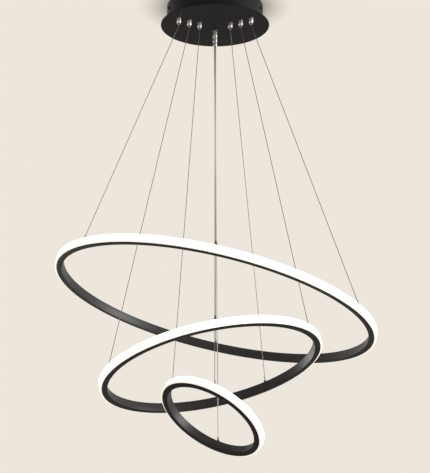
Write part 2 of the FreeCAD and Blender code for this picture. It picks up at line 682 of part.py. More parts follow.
def cord_gland(ring):
    azimuth = ring["cord"][1]
    hub = local_spot(ring, azimuth, RING_H + GLAND_FLOOR)
    heading = local_heading(ring, cord_source(ring), azimuth, RING_H + GLAND_FLOOR)
    spot = (hub.x, hub.y)
    base = cylinder(GLAND_R, RING_H, RING_H + GLAND_FLOOR, spot)
    stem = cylinder(GLAND_STEM_R, RING_H - GLAND_STEM_L, RING_H + GLAND_FLOOR / 2, spot)
    nipple = rod(NIPPLE_R, hub, hub + heading * NIPPLE_L)
    body = joined([base, Part.makeSphere(GLAND_R, hub), stem, nipple])
    below = tube(GLAND_R + 1, GLAND_STEM_R, RING_H - GLAND_R - 1, RING_H, spot)
    bore = rod(CORD_R + RUN_FIT, hub + heading * GLAND_BORE_FROM, hub + heading * (NIPPLE_L + 1))
    return body.cut([below, bore])


# ---------------------------------------------------------------- wires and cords
def wire(ring, row, place, azimuth):
    """Spare wire in the drum, upright through the gripper, then straight down to its crimp sleeve."""
    turn = turn_point((row, place))
    hub = world_spot(ring, azimuth, RING_H + BALL_H)
    end = hub + (turn - hub).normalize() * CRIMP_L
    heading = math.radians(TAIL_HEADINGS[(row, place)])
    corner = Vector(turn.x, turn.y, TAIL_Z)
    tail = corner + Vector(math.cos(heading), math.sin(heading), 0) * TAIL_RUN
    return line_tube("wire %s %s" % (row, place), [tail, corner, turn, end], [TAIL_BEND_R, NOSE_BEND_R], WIRE_R)


def power_cord(name, ring):
    """From the driver, out of the canopy and straight down to the ring's gland."""
    azimuth = ring["cord"][1]
    source = cord_source(ring)
    turn = turn_point(source)
    hub = world_spot(ring, azimuth, RING_H + GLAND_FLOOR)
    end = hub + (turn - hub).normalize() * GLAND_BORE_FROM
    port = Vector(CORD_PORT_X[name], DRIVER_FAR_Y - PORT_DEPTH, PORT_Z)
    if name == "small":
        inside = [Vector(*p) for p in reversed(SMALL_CORD_ROUTE)] + [Vector(turn.x, turn.y, CORD_HIGH_Z)]
    else:
        inside = [Vector(port.x, port.y + PORT_RUN, PORT_Z), Vector(turn.x, turn.y, PORT_Z)]
    points = [port] + inside + [turn, end]
    radii = [gentle_radius(points, k) for k in range(1, len(points) - 2)] + [NOSE_BEND_R]
    return line_tube("cord " + name, points, radii, CORD_R)


# ---------------------------------------------------------------- nodes
def ring_nodes(name, ring):
    """The pieces of one ring, drawn flat and then put in their place."""
    drawn = {
        "channel": channel(ring),
        "diffuser": diffuser(ring),
        "led_strip": led_strip(ring),
        "led_chips": led_chips(ring),
        "splice_plate": splice_plate(ring),
        "sockets": Part.makeCompound([socket(ring, (row, place), a) for row, place, a in ring["wires"]]),
        "socket_nuts": Part.makeCompound([socket_nut(ring, a) for row, place, a in ring["wires"]]),
        "wire_ends": Part.makeCompound([wire_end(ring, (row, place), a) for row, place, a in ring["wires"]]),
        "cord_gland": cord_gland(ring),
    }
    placement = ring_placement(ring)
    nodes = {}
    for piece, shape in drawn.items():
        placed = shape.copy()
        placed.Placement = placement.multiply(placed.Placement)
        nodes["%s_ring_%s" % (name, piece)] = placed
    return nodes


def canopy_nodes():
    spots = grip_points()
    nodes = {
        "canopy_drum": canopy_drum(),
        "canopy_plate": canopy_plate(),
        "plate_fasteners": plate_fasteners(),
        "ceiling_bracket": ceiling_bracket(),
        "side_screws": side_screws(),
        "gripper_barrels": Part.makeCompound([gripper_barrel(spot) for spot in spots.values()]),
        "gripper_nuts": Part.makeCompound([gripper_nut(spot) for spot in spots.values()]),
        "cord_outlet": cord_outlet(),
        "driver_case": driver_case(),
        "driver_cover": driver_cover(),
        "driver_board": driver_board(),
        "terminal_block": terminal_block(),
        "mains_leads": mains_leads(),
    }
    for (row, place), spot in spots.items():
        nodes["release_sleeve_%s_%s" % (row, place)] = release_sleeve(spot)
    return nodes


def hanging_nodes():
    nodes = {}
    for name, ring in RINGS.items():
        for row, place, azimuth in ring["wires"]:
            nodes["wire_%s_%s" % (row, place)] = wire(ring, row, place, azimuth)
        nodes["power_cord_%s_ring" % name] = power_cord(name, ring)
    return nodes


def main():
    os.makedirs("parts", exist_ok=True)
    nodes = canopy_nodes()
    nodes.update(hanging_nodes())
    for name, ring in RINGS.items():
        nodes.update(ring_nodes(name, ring))
    for name, shape in nodes.items():
        shape.exportStep("parts/%s.step" % name)
    print(len(nodes), "nodes")


main()
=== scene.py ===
"""Finishes, lines, light bands and studio for a three-ring hanging lamp."""

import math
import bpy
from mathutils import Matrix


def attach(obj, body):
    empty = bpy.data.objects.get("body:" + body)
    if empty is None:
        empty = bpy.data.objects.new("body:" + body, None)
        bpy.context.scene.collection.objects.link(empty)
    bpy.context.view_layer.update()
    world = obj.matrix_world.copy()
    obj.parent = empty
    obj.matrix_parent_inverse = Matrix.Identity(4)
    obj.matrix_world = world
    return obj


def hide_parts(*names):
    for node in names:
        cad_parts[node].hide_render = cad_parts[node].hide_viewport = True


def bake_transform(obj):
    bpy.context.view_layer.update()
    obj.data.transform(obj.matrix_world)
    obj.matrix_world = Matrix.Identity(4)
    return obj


bl_info = {
    "name": "Ring chandelier finishes",
    "version": (1, 0, 0),
    "blender": (4, 5, 0),
    "location": "View3D > Sidebar > Chandelier",
    "description": "Dresses a three-ring hanging lamp: channels, light bands, lines, canopy and studio",
    "category": "Object",
}

import bpy
from mathutils import Matrix, Vector

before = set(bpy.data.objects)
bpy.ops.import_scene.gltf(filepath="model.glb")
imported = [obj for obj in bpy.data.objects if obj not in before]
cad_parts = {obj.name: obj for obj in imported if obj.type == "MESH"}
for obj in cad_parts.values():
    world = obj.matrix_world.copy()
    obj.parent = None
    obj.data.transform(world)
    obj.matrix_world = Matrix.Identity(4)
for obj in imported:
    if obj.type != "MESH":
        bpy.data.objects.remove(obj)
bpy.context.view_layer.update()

# ---- ring frames: outer radius, centre of the lower face, lean to the side and to the back ----
RINGS = {
    "big": (0.300, (-0.0025, 0.0328, -0.5767), 13.3, 6.8),
    "middle": (0.200, (-0.0052, -0.0246, -0.7004), -12.0, 12.7),
    "small": (0.100, (-0.0089, -0.0084, -0.7852), 30.5, 26.1),
}
SEAM_AZIMUTH = 100.0
SEAM_GAP = 0.0003

# ---- ring section, measured from the channel's inner face and from its lower face ----
RING_H = 0.016
CHANNEL_W = 0.010
DIFFUSER_PROUD = 0.0035
WEB_T = 0.0016
LIP_T = 0.0013
HOOK_W = 0.0009
HOOK_H = 0.0008
SNAP_FIT = 0.0001
WEB_EDGE = 3                # number of the channel outline's edge that is its inner face
BARB_T = 0.0011
CROWN_SHY = 0.0009          # how far the band's crown stays inside the channel's height

# ---- cable grippers: places under the plate, heights and radii of barrel, stem, pocket and sleeve ----
GRIPPERS = {
    ("left", "inner"): (-0.02901, -0.01675), ("left", "middle"): (-0.04828, -0.02788),
    ("left", "outer"): (-0.06755, -0.03900), ("right", "inner"): (0.02901, -0.01675),
    ("right", "middle"): (0.04828, -0.02788), ("right", "outer"): (0.06755, -0.03900),
    ("far", "inner"): (0.0, 0.03350), ("far", "middle"): (0.0, 0.05575), ("far", "outer"): (0.0, 0.07800),
}
BARREL_FOOT, PLATE_LOW, STEM_TOP = -0.048, -0.038, -0.028
BARREL_R, STEM_R, BORE_R = 0.0042, 0.0030, 0.0010
GROOVE_DROP, GROOVE_W, GROOVE_DEPTH = 0.003, 0.0005, 0.00035
POCKET_R, POCKET_TOP = 0.00205, -0.0408
SLEEVE_FOOT, SLEEVE_TOP = -0.0515, -0.0432
SLEEVE_R, SLEEVE_RIM_R, SLEEVE_RIM_T = 0.0020, 0.0025, 0.001
THREAD_END = 0.0004         # plain stretch and bevel at each end of a thread

# ---- side screws in the drum's wall ----
SIDE_SCREW_AZIMUTHS = (71.0, -71.0, 109.0, -109.0)
DRUM_R, SIDE_SCREW_Z = 0.0915, -0.014
SIDE_HEAD_R, SIDE_HEAD_T, SIDE_SHANK_R, SIDE_SHANK_L = 0.0035, 0.0022, 0.0020, 0.0080
SIDE_HEAD_LIFT = 0.00005    # head's seat above the wall
SIDE_RIM_SHARE = 0.45       # share of the head's height below its dome
DOME_STEPS = 6
CROSS_L, CROSS_W, CROSS_DEPTH = 0.0017, 0.00035, 0.0009     # half length and half width of the recess

# ---- crimped wire ends: ball in its socket and sleeve with two dents on the wire ----
BALL_R, CRIMP_R, CRIMP_L = 0.0015, 0.00095, 0.0080
DENTS, DENT_DEPTH, DENT_W = (0.0028, 0.0049), 0.0002, 0.0011

# ---- routes of the steel wires: spare end, corner in the drum, turn at the gripper, crimp sleeve ----
WIRES = {
    "wire_left_outer": ("big", [
        (-0.06755, 0.00600, -0.01400), (-0.06755, -0.03900, -0.01400),
        (-0.06755, -0.03900, -0.05300), (-0.22230, -0.13140, -0.47814)]),
    "wire_right_outer": ("big", [
        (0.06755, 0.00600, -0.01400), (0.06755, -0.03900, -0.01400),
        (0.06755, -0.03900, -0.05300), (0.24371, -0.11770, -0.59105)]),
    "wire_far_outer": ("big", [
        (-0.04045, 0.05827, -0.01400), (0.00000, 0.07800, -0.01400),
        (0.00000, 0.07800, -0.05300), (0.00164, 0.32103, -0.58634)]),
    "wire_left_middle": ("middle", [
        (-0.04828, 0.01712, -0.01400), (-0.04828, -0.02788, -0.01400),
        (-0.04828, -0.02788, -0.05300), (-0.17990, -0.10066, -0.69369)]),
    "wire_right_middle": ("middle", [
        (0.04828, 0.01712, -0.01400), (0.04828, -0.02788, -0.01400),
        (0.04828, -0.02788, -0.05300), (0.16020, -0.08953, -0.62323)]),
    "wire_right_inner": ("middle", [
        (0.02901, 0.02825, -0.01400), (0.02901, -0.01675, -0.01400),
        (0.02901, -0.01675, -0.05300), (0.09381, 0.13794, -0.68945)]),
    "wire_left_inner": ("small", [
        (-0.02901, 0.02825, -0.01400), (-0.02901, -0.01675, -0.01400),
        (-0.02901, -0.01675, -0.05300), (-0.07483, -0.01468, -0.71207)]),
    "wire_far_inner": ("small", [
        (-0.04303, 0.04666, -0.01400), (0.00000, 0.03350, -0.01400),
        (0.00000, 0.03350, -0.05300), (-0.00039, -0.08213, -0.72261)]),
}

# ---- routes of the power cords, from the driver's port to the ring's gland ----
CORDS = {
    "power_cord_big_ring": ("big", [
        (-0.00600, -0.04280, -0.02690), (-0.00600, -0.02280, -0.02690), (-0.00150, 0.02000, -0.02690),
        (-0.00150, 0.02000, -0.04100), (0.00151, -0.25363, -0.52343)]),
    "power_cord_middle_ring": ("middle", [
        (0.00600, -0.04280, -0.02690), (0.00600, -0.02280, -0.02690), (0.00150, 0.02000, -0.02690),
        (0.00150, 0.02000, -0.04100), (0.00039, -0.20628, -0.63781)]),
    "power_cord_small_ring": ("small", [
        (0.01400, -0.04280, -0.02690), (0.01400, -0.02400, -0.02690), (0.01600, -0.00600, -0.01200),
        (0.01400, 0.03400, -0.00800), (0.00000, 0.05575, -0.00800),
        (0.00000, 0.05575, -0.05300), (0.00566, 0.07882, -0.81237)]),
}
BEND_SHARE = 6.0            # distance of the extra points from a bend, in diameters

# ---- coats and metals ----
BUMP_HEIGHT = 0.0002        # height of the grain and of the brushing
BROAD_GRAIN = 22.0          # scale of the slow change of colour over a grained surface
STREAKS_ALONG = 9.0         # how often a brushed streak changes, per metre of ring
STRANDS = 6                 # strands that show on one turn round a wire
FADE_FROM, FADE_TO = 0.5, 0.9       # where the light band darkens, in shares of half the ring's height
EDGE_GLOW = 0.18            # light at the band's edges, as a share of the light's colour
ZINC = (0.55, 0.55, 0.53)

# ---- studio ----
FLOOR_HALF = 12.0
PATCH_HALF, PATCH_LIFT = 0.35, 0.0005       # patch of ceiling round the drum
PATCH_SHADE = 0.06          # reach of the shade in the corner between ceiling and drum
SENSOR_WIDTH = 36.0
SOFTBOXES = {               # place, aim, side and power in watts
    "right_softbox": ((2.55, -0.45, -0.45), (0, 0, -0.4), 1.2, 85.0),
    "left_softbox": ((-1.7, 2.0, -0.9), (0, 0, -0.55), 1.2, 22.0),
}


# ---------------------------------------------------------------- settings
class ChandelierLines(bpy.types.PropertyGroup):
    """Sizes of the wires and cords."""
    wire_diameter: bpy.props.FloatProperty(
        name="Wire diameter", description="Outer diameter of the steel wires",
        default=0.0012, min=0.0005, max=0.002, precision=4, unit="LENGTH")
    cord_diameter: bpy.props.FloatProperty(
        name="Cord diameter", description="Outer diameter of the power cords",
        default=0.0016, min=0.001, max=0.004, precision=4, unit="LENGTH")
    lay_length: bpy.props.FloatProperty(
        name="Lay length", description="Length of one turn of the wire's strands",
        default=0.006, min=0.002, max=0.02, precision=4, unit="LENGTH")


class ChandelierFinish(bpy.types.PropertyGroup):
    """Colours of the coated, plated and moulded pieces."""
    coat: bpy.props.FloatVectorProperty(
        name="Black coat", description="Colour of the powder coat on canopy and rings",
        default=(0.0065, 0.0065, 0.0067), size=3, min=0.0, max=1.0, subtype="COLOR")
    web: bpy.props.FloatVectorProperty(
        name="Black web", description="Colour of the channels' brushed inner face",
        default=(0.0150, 0.0150, 0.0155), size=3, min=0.0, max=1.0, subtype="COLOR")
    band: bpy.props.FloatVectorProperty(
        name="Light band", description="Colour of the silicone band itself",
        default=(0.93, 0.91, 0.86), size=3, min=0.0, max=1.0, subtype="COLOR")
    glow_middle: bpy.props.FloatVectorProperty(
        name="Light in the middle", description="Colour of the light along the middle of the bands",
        default=(1.0, 0.985, 0.94), size=3, min=0.0, max=1.0, subtype="COLOR")
    glow: bpy.props.FloatVectorProperty(
        name="Light at the edges", description="Colour of the light at the edges of the bands",
        default=(1.0, 0.90, 0.74), size=3, min=0.0, max=1.0, subtype="COLOR")
    glow_strength: bpy.props.FloatProperty(
        name="Light strength", description="Strength of the light that the bands give",
        default=1.3, min=0.0, max=20.0)
    plate: bpy.props.FloatVectorProperty(
        name="Plating", description="Colour of the satin plating on the grippers",
        default=(0.66, 0.65, 0.63), size=3, min=0.0, max=1.0, subtype="COLOR")
    wire: bpy.props.FloatVectorProperty(
        name="Wire", description="Colour of the steel wire",
        default=(0.15, 0.145, 0.13), size=3, min=0.0, max=1.0, subtype="COLOR")
    sheath: bpy.props.FloatVectorProperty(
        name="Cord sheath", description="Colour of the power cords' sheath",
        default=(0.34, 0.32, 0.28), size=3, min=0.0, max=1.0, subtype="COLOR")


class ChandelierStudio(bpy.types.PropertyGroup):
    """Camera, light and background."""
    background: bpy.props.FloatVectorProperty(
        name="Background", description="Colour behind the lamp",
        default=(0.847, 0.791, 0.716), size=3, min=0.0, max=1.0, subtype="COLOR")
    floor: bpy.props.FloatVectorProperty(
        name="Floor", description="Colour of the floor's paint",
        default=(0.84, 0.81, 0.76), size=3, min=0.0, max=1.0, subtype="COLOR")
    ambient: bpy.props.FloatProperty(
        name="Ambient light", description="Strength of the even light from all round",
        default=0.8, min=0.0, max=5.0)
    floor_drop: bpy.props.FloatProperty(
        name="Ceiling height", description="Height of the ceiling over the floor",
        default=2.6, min=2.0, max=6.0, unit="LENGTH")
    camera_place: bpy.props.FloatVectorProperty(
        name="Camera place", description="Where the camera stands",
        default=(0.0, -2.300, -1.008), size=3, subtype="TRANSLATION", unit="LENGTH")
    camera_pitch: bpy.props.FloatProperty(
        name="Camera pitch", description="How far the camera looks up",
        default=math.radians(13.64), subtype="ANGLE")
    camera_lens: bpy.props.FloatProperty(
        name="Lens", description="Focal length on a 36 mm wide sensor, in millimetres",
        default=1295.0 / 430.0 * SENSOR_WIDTH, min=20.0, max=300.0)


# ---------------------------------------------------------------- mesh helpers
def new_object(name, vertices, faces, material, smooth_angle=35.0):
    """Mesh object, smooth but for edges sharper than an angle."""
    mesh = bpy.data.meshes.new(name)
    mesh.from_pydata(vertices, [], faces)
    mesh.validate()
    mesh.polygons.foreach_set("use_smooth", [True] * len(mesh.polygons))
    mesh.set_sharp_from_angle(angle=math.radians(smooth_angle))
    mesh.materials.append(material)
    piece = bpy.data.objects.new(name, mesh)
    bpy.context.scene.collection.objects.link(piece)
    return piece


def ring_matrix(name):
    """Puts a ring drawn about +Z in its place."""
    centre, lean_side, lean_back = RINGS[name][1:]
    axis = Vector((math.tan(math.radians(lean_side)), math.tan(math.radians(lean_back)), 1)).normalized()
    across = (Vector((1, 0, 0)) - axis * axis.x).normalized()
    along = axis.cross(across)
    turn = Matrix((across, along, axis)).transposed().to_4x4()
    return Matrix.Translation(centre) @ turn


def rounded(corners, steps=3):
    """Outline from corners (out, height, radius); each corner becomes an arc of a few points."""
    outline = []
    count = len(corners)
    for k, (out, height, radius) in enumerate(corners):
        corner = Vector((out, height))
        before = (Vector(corners[k - 1][:2]) - corner).normalized()
        after = (Vector(corners[(k + 1) % count][:2]) - corner).normalized()
        if radius <= 0:
            outline.append(corner)
            continue
        hub = corner + (before + after) * radius
        for step in range(steps + 1):
            angle = math.pi / 2 * step / steps
            outline.append(hub - after * radius * math.cos(angle) - before * radius * math.sin(angle))
    return outline


def swept_ring(name, ring, outline, materials, web_edges=(), segments=288):
    """Turns an outline round a ring's axis, from one side of the seam to the other, and closes the ends.

    The UV map has U along the ring and V round the outline, both in metres. The second material goes
    on the faces that the outline's web edges sweep.
    """
    inner = RINGS[ring][0] - DIFFUSER_PROUD - CHANNEL_W
    place = ring_matrix(ring)
    gap = SEAM_GAP / inner
    vertices = []
    turns = []
    for k in range(segments + 1):
        azimuth = math.radians(SEAM_AZIMUTH) + gap / 2 + (2 * math.pi - gap) * k / segments
        turns.append(azimuth * inner)
        for point in outline:
            radius = inner + point.x
            spot = Vector((radius * math.sin(azimuth), -radius * math.cos(azimuth), point.y))
            vertices.append(place @ spot)
    size = len(outline)
    around = [0.0]
    for j in range(size):
        around.append(around[-1] + (outline[(j + 1) % size] - outline[j]).length)
    faces = [tuple(reversed(range(size))), tuple(range(segments * size, (segments + 1) * size))]
    maps = [[(turns[0], around[j]) for j in face] for face in (reversed(range(size)), range(size))]
    slots = [0, 0]
    for k in range(segments):
        for j in range(size):
            a = k * size + j
            b = k * size + (j + 1) % size
            faces.append((a, b, b + size, a + size))
            maps.append([(turns[k], around[j]), (turns[k], around[j + 1]),
                         (turns[k + 1], around[j + 1]), (turns[k + 1], around[j])])
            slots.append(1 if j in web_edges else 0)
    piece = new_object(name, vertices, faces, materials[0])
    for material in materials[1:]:
        piece.data.materials.append(material)
    uv = piece.data.uv_layers.new(name="UVMap")
    for polygon, corners, slot in zip(piece.data.polygons, maps, slots):
        polygon.material_index = slot
        for loop, place_on_map in zip(polygon.loop_indices, corners):
            uv.data[loop].uv = place_on_map
    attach(piece, ring + "_ring")
    return piece


def turned(name, outline, places, material, sides=32, smooth_angle=30.0):
    """Outline of (radius, height) points, spun about the axis at each place.

    An outline whose ends lie off the axis is closed on itself.
    """
    vertices, faces = [], []
    for origin, axis in places:
        lean = Vector(axis).to_track_quat("Z", "Y")
        rows = []
        for radius, height in outline:
            start = len(vertices)
            count = 1 if radius < 1e-6 else sides
            for k in range(count):
                angle = 2 * math.pi * k / sides
                spot = Vector((radius * math.cos(angle), radius * math.sin(angle), height))
                vertices.append(Vector(origin) + lean @ spot)
            rows.append(range(start, start + count))
        closed = len(rows[0]) > 1 and len(rows[-1]) > 1
        for low, high in zip(rows, rows[1:] + (rows[:1] if closed else [])):
            for k in range(sides):
                n = (k + 1) % sides
                if len(low) == 1:
                    faces.append((low[0], high[n], high[k]))
                elif len(high) == 1:
                    faces.append((low[k], low[n], high[0]))
                else:
                    faces.append((low[k], low[n], high[n], high[k]))
    return new_object(name, vertices, faces, material, smooth_angle)


def threaded(radius, low, high, pitch=0.00075, depth=0.0002):
    """Outline of a threaded stretch, drawn as close rings."""
    count = int((high - low) / pitch)
    outline = []
    for k in range(count):
        foot = low + k * pitch
        outline += [(radius, foot + pitch * 0.25), (radius - depth, foot + pitch * 0.75)]
    return outline


def smooth_line(route, resolution=24):
    """Points of the smooth line that a route's points control."""
    curve = bpy.data.curves.new("route", "CURVE")
    curve.dimensions = "3D"
    spline = curve.splines.new("NURBS")
    spline.points.add(len(route) - 1)
    for point, place in zip(spline.points, route):
        point.co = (*place, 1.0)
    spline.order_u = 3
    spline.use_endpoint_u = True
    spline.resolution_u = resolution
    holder = bpy.data.objects.new("route", curve)
    mesh = bpy.data.meshes.new_from_object(holder)
    line = [vertex.co.copy() for vertex in mesh.vertices]
    bpy.data.objects.remove(holder)
    bpy.data.meshes.remove(mesh)
    bpy.data.curves.remove(curve)
    return line


def line_tube(name, line, diameter, material, sides=12):
    """Round tube along a line, with a UV map: U round the tube, V along it in metres."""
    last = len(line) - 1
    ahead = (line[1] - line[0]).normalized()
    side = ahead.orthogonal().normalized()
    vertices = []
    along = [0.0]
    for k, point in enumerate(line):
        heading = (line[min(k + 1, last)] - line[max(k - 1, 0)]).normalized()
        side = ahead.rotation_difference(heading) @ side
        ahead = heading
        other = ahead.cross(side)
        if k:
            along.append(along[-1] + (point - line[k - 1]).length)
        for j in range(sides):
            angle = 2 * math.pi * j / sides
            vertices.append(point + (side * math.cos(angle) + other * math.sin(angle)) * diameter / 2)
    faces = [tuple(reversed(range(sides))), tuple(range(len(vertices) - sides, len(vertices)))]
    for k in range(last):
        for j in range(sides):
            a = k * sides + j
            b = k * sides + (j + 1) % sides
            faces.append((a, b, b + sides, a + sides))
    piece = new_object(name, vertices, faces, material, smooth_angle=60.0)
    uv = piece.data.uv_layers.new(name="UVMap")
    for polygon in piece.data.polygons:
        columns = [piece.data.loops[i].vertex_index % sides for i in polygon.loop_indices]
        wraps = len(columns) == 4 and 0 in columns and sides - 1 in columns
        for i, column in zip(polygon.loop_indices, columns):
            vertex = piece.data.loops[i].vertex_index
            u = 1.0 if wraps and column == 0 else column / sides
            uv.data[i].uv = (u, along[vertex // sides])
    return piece


# ---------------------------------------------------------------- shader helpers
def new_material(name):
    """Empty node material with its surface shader."""
    material = bpy.data.materials.new(name)
    material.use_nodes = True
    return material, material.node_tree.nodes["Principled BSDF"]


def link(tree, source, target):
    """Joins two sockets."""
    tree.links.new(source, target)


def group_base(name, inputs, outputs):
    """New node group with its sockets, and its input and output nodes."""
    group = bpy.data.node_groups.new(name, "ShaderNodeTree")
    for label, kind, default in inputs:
        socket = group.interface.new_socket(name=label, in_out="INPUT", socket_type=kind)
        socket.default_value = default
    for label, kind in outputs:
        group.interface.new_socket(name=label, in_out="OUTPUT", socket_type=kind)
    return group, group.nodes.new("NodeGroupInput"), group.nodes.new("NodeGroupOutput")


def math_node(tree, operation, *values):
    """Output of a Math node whose inputs are numbers or sockets."""
    node = tree.nodes.new("ShaderNodeMath")
    node.operation = operation
    for socket, value in zip(node.inputs, values):
        if isinstance(value, (int, float)):
            socket.default_value = value
        else:
            link(tree, value, socket)
    return node.outputs[0]


def noise_node(tree, detail, vector):
    """Noise texture along a vector socket."""
    node = tree.nodes.new("ShaderNodeTexNoise")
    node.inputs["Detail"].default_value = detail
    link(tree, vector, node.inputs["Vector"])
    return node


def scaled_colour(tree, colour, gain):
    """A colour socket times a number socket."""
    node = tree.nodes.new("ShaderNodeVectorMath")
    node.operation = "SCALE"
    link(tree, colour, node.inputs[0])
    link(tree, gain, node.inputs["Scale"])
    return node.outputs[0]


def bump_node(tree, height, strength, distance=BUMP_HEIGHT):
    """Normal that a height socket gives; the strength is a number or a socket."""
    node = tree.nodes.new("ShaderNodeBump")
    node.inputs["Distance"].default_value = distance
    if isinstance(strength, float):
        node.inputs["Strength"].default_value = strength
    else:
        link(tree, strength, node.inputs["Strength"])
    link(tree, height, node.inputs["Height"])
    return node.outputs[0]


def map_sockets(tree):
    """The UV map's two coordinates."""
    place = tree.nodes.new("ShaderNodeUVMap")
    place.uv_map = "UVMap"
    split = tree.nodes.new("ShaderNodeSeparateXYZ")
    link(tree, place.outputs[0], split.inputs[0])
    return split.outputs["X"], split.outputs["Y"]


def grain_group():
    """Fine grain of a powder coat or a moulding: a colour, a roughness and a normal."""
    group, start, end = group_base(
        "Fine grain",
        [("Colour", "NodeSocketColor", (0.5, 0.5, 0.5, 1)), ("Variation", "NodeSocketFloat", 0.1),
         ("Grain size", "NodeSocketFloat", 900.0), ("Roughness", "NodeSocketFloat", 0.45),
         ("Depth", "NodeSocketFloat", 0.15)],
        [("Colour", "NodeSocketColor"), ("Roughness", "NodeSocketFloat"), ("Normal", "NodeSocketVector")])
    place = group.nodes.new("ShaderNodeTexCoord").outputs["Object"]
    fine = noise_node(group, 3.0, place)
    link(group, start.outputs["Grain size"], fine.inputs["Scale"])
    broad = noise_node(group, 4.0, place)
    broad.inputs["Scale"].default_value = BROAD_GRAIN
    centred = math_node(group, "SUBTRACT", broad.outputs["Fac"], 0.5)
    swing = math_node(group, "MULTIPLY", centred, start.outputs["Variation"])
    gain = math_node(group, "ADD", swing, 1.0)
    link(group, scaled_colour(group, start.outputs["Colour"], gain), end.inputs["Colour"])
    speck = math_node(group, "SUBTRACT", fine.outputs["Fac"], 0.5)
    rough = math_node(group, "MULTIPLY_ADD", speck, 0.25, start.outputs["Roughness"])
    rough = math_node(group, "ADD", rough, math_node(group, "MULTIPLY", swing, 0.5))
    link(group, rough, end.inputs["Roughness"])
    link(group, bump_node(group, fine.outputs["Fac"], start.outputs["Depth"]), end.inputs["Normal"])
    return group


def brushed_group():
    """Streaks along a ring, which change the colour and the roughness and give a shallow height."""
    group, start, end = group_base(
        "Lengthwise brushing",
        [("Colour", "NodeSocketColor", (0.5, 0.5, 0.5, 1)), ("Contrast", "NodeSocketFloat", 0.5),
         ("Line width", "NodeSocketFloat", 0.001), ("Roughness", "NodeSocketFloat", 0.4)],
        [("Colour", "NodeSocketColor"), ("Roughness", "NodeSocketFloat"), ("Height", "NodeSocketFloat")])
    along, across = map_sockets(group)
    join = group.nodes.new("ShaderNodeCombineXYZ")
    link(group, math_node(group, "MULTIPLY", along, STREAKS_ALONG), join.inputs["X"])
    link(group, math_node(group, "DIVIDE", across, start.outputs["Line width"]), join.inputs["Y"])
    lines = noise_node(group, 5.0, join.outputs[0])
    lines.inputs["Scale"].default_value = 1.0
    lines.inputs["Roughness"].default_value = 0.65
    centred = math_node(group, "SUBTRACT", lines.outputs["Fac"], 0.5)
    centred = math_node(group, "MULTIPLY", centred, 2.0)
    swing = math_node(group, "MULTIPLY", centred, start.outputs["Contrast"])
    gain = math_node(group, "ADD", swing, 1.0)
    link(group, scaled_colour(group, start.outputs["Colour"], gain), end.inputs["Colour"])
    rough = math_node(group, "MULTIPLY_ADD", swing, -0.25, start.outputs["Roughness"])
    link(group, rough, end.inputs["Roughness"])
    link(group, lines.outputs["Fac"], end.inputs["Height"])
    return group


def brushed_web_material():
    """The channels' inner face: black, and brushed lengthwise, so it shines more than the lips."""
    finish = bpy.context.scene.chandelier_finish
    material, shader = new_material("brushed_black_web")
    tree = material.node_tree
    node = tree.nodes.new("ShaderNodeGroup")
    node.node_tree = brushed_group()
    node.inputs["Colour"].default_value = (*finish.web, 1)
    node.inputs["Contrast"].default_value = 0.9
    node.inputs["Line width"].default_value = 0.0012
    node.inputs["Roughness"].default_value = 0.44
    link(tree, node.outputs["Colour"], shader.inputs["Base Color"])
    link(tree, node.outputs["Roughness"], shader.inputs["Roughness"])
    link(tree, bump_node(tree, node.outputs["Height"], 0.35), shader.inputs["Normal"])
    shader.inputs["Specular IOR Level"].default_value = 0.27
    return material


def grained(name, colour, roughness, variation, grain, depth):
    """Material with the fine grain group in it, and its shader."""
    material, shader = new_material(name)
    tree = material.node_tree
    node = tree.nodes.new("ShaderNodeGroup")
    node.node_tree = bpy.data.node_groups.get("Fine grain") or grain_group()
    node.inputs["Colour"].default_value = (*colour, 1)
    node.inputs["Variation"].default_value = variation
    node.inputs["Grain size"].default_value = grain
    node.inputs["Roughness"].default_value = roughness
    node.inputs["Depth"].default_value = depth
    link(tree, node.outputs["Colour"], shader.inputs["Base Color"])
    link(tree, node.outputs["Roughness"], shader.inputs["Roughness"])
    link(tree, node.outputs["Normal"], shader.inputs["Normal"])
    return material, shader


def black_coat(name, roughness, shine):
    """Black powder coat."""
    colour = bpy.context.scene.chandelier_finish.coat
    material, shader = grained(name, colour, roughness, variation=0.35, grain=1400.0, depth=0.12)
    shader.inputs["Specular IOR Level"].default_value = shine
    return material


def plated(name, colour, roughness):
    """Plated or bare metal."""
    material, shader = grained(name, colour, roughness, variation=0.12, grain=2600.0, depth=0.05)
    shader.inputs["Metallic"].default_value = 1.0
    return material


def moulded(name, colour, roughness):
    """Moulded plastic or rubber."""
    return grained(name, colour, roughness, variation=0.08, grain=1200.0, depth=0.08)[0]


def light_band_material(crown_middle):
    """Opal silicone, lit from behind: brightest at its middle, a little warmer at its edges."""
    finish = bpy.context.scene.chandelier_finish
    material, shader = grained("lit_silicone", finish.band, 0.55, variation=0.04, grain=1800.0, depth=0.05)
    tree = material.node_tree
    across = map_sockets(tree)[1]
    aside = math_node(tree, "ABSOLUTE", math_node(tree, "SUBTRACT", across, crown_middle))
    ramp = tree.nodes.new("ShaderNodeValToRGB")
    ramp.color_ramp.interpolation = "EASE"
    middle, edge = ramp.color_ramp.elements
    middle.position, edge.position = FADE_FROM, FADE_TO
    middle.color = (*finish.glow_middle, 1)
    edge.color = (*[c * EDGE_GLOW for c in finish.glow], 1)
    link(tree, math_node(tree, "DIVIDE", aside, RING_H / 2), ramp.inputs["Fac"])
    link(tree, ramp.outputs["Color"], shader.inputs["Emission Color"])
    shader.inputs["Emission Strength"].default_value = finish.glow_strength
    return material


